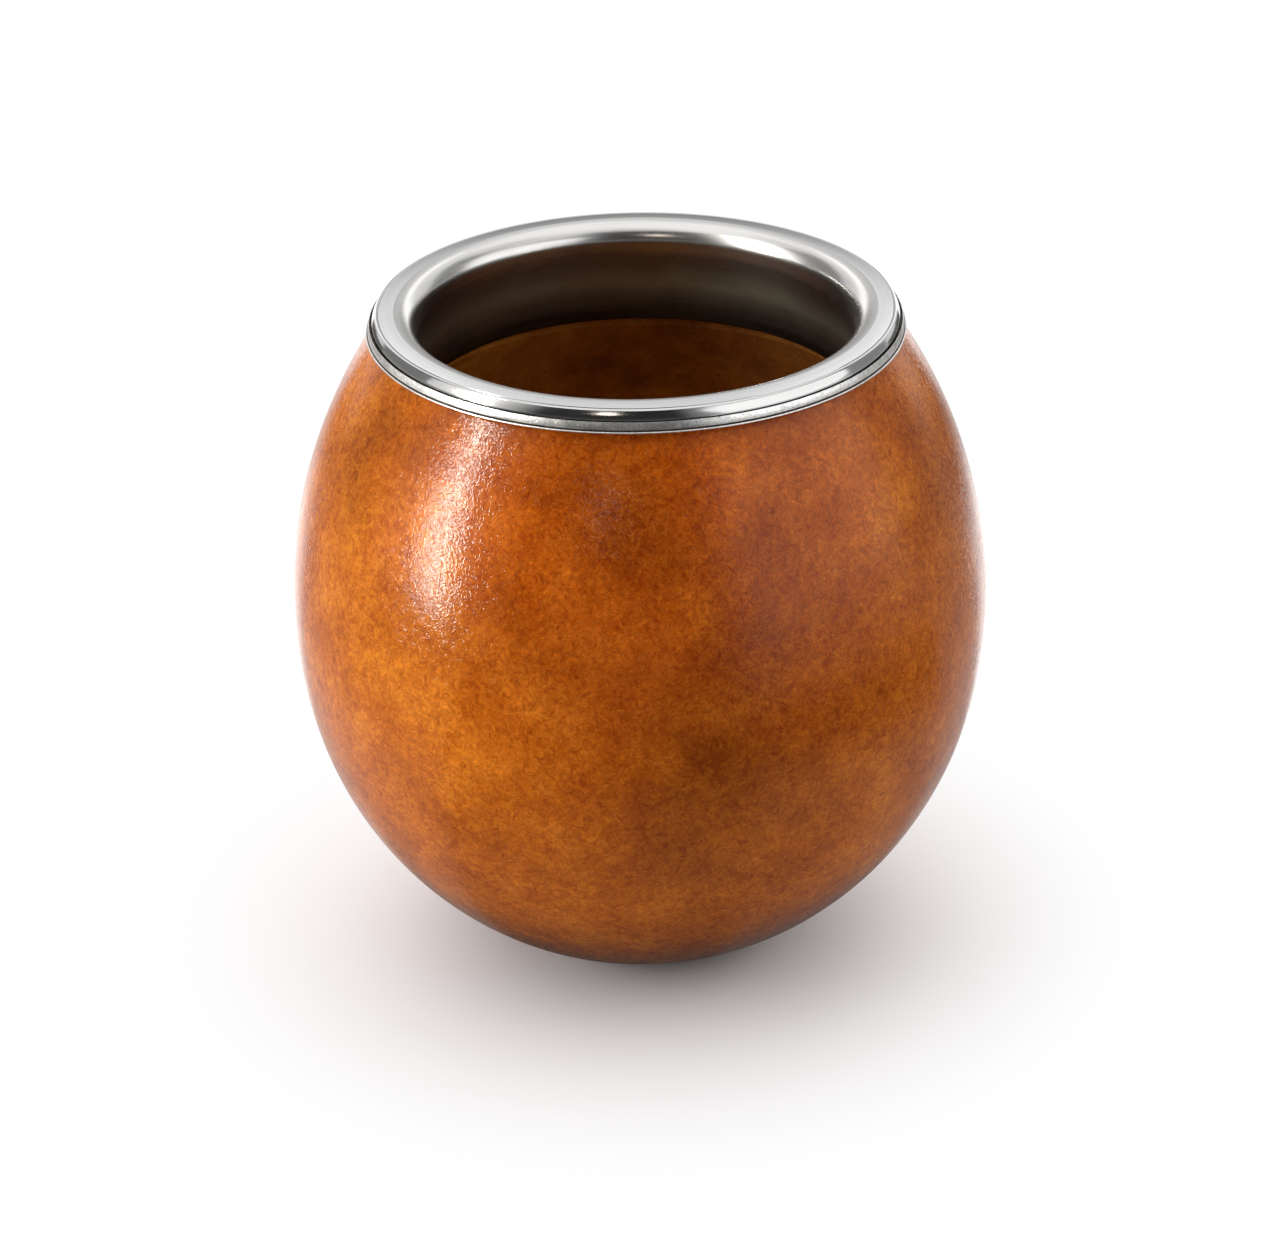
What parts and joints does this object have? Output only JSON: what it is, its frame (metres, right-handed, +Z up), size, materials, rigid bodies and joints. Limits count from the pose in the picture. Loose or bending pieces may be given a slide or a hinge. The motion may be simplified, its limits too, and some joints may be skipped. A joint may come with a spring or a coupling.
{
  "type": "mate cup",
  "caption": "Rounded gourd drinking cup with a stainless steel rim: a flat flange with a rolled edge, a sleeve lining the mouth and a beaded band under it.",
  "frame": {"origin": "centre of the flat foot that the cup stands on", "axes": "+Z up along the cup's axis of revolution, -Z out of the foot; X and Y are alike"},
  "size_m": [0.088, 0.088, 0.0856],
  "materials": {
    "gourd_skin": "stained and lacquered, cloudy brown, glossy",
    "polished_steel": "polished, lightly pitted",
    "spun_steel": "satin flange with fine concentric brushing, polished bend and sleeve",
    "setting_resin": "dark, matt"
  },
  "bodies": {
    "root": {"gourd_shell": "gourd_skin", "outer_band": "polished_steel", "mouth_collar": "spun_steel", "collar_bed": "setting_resin"}
  },
  "joints": []
}
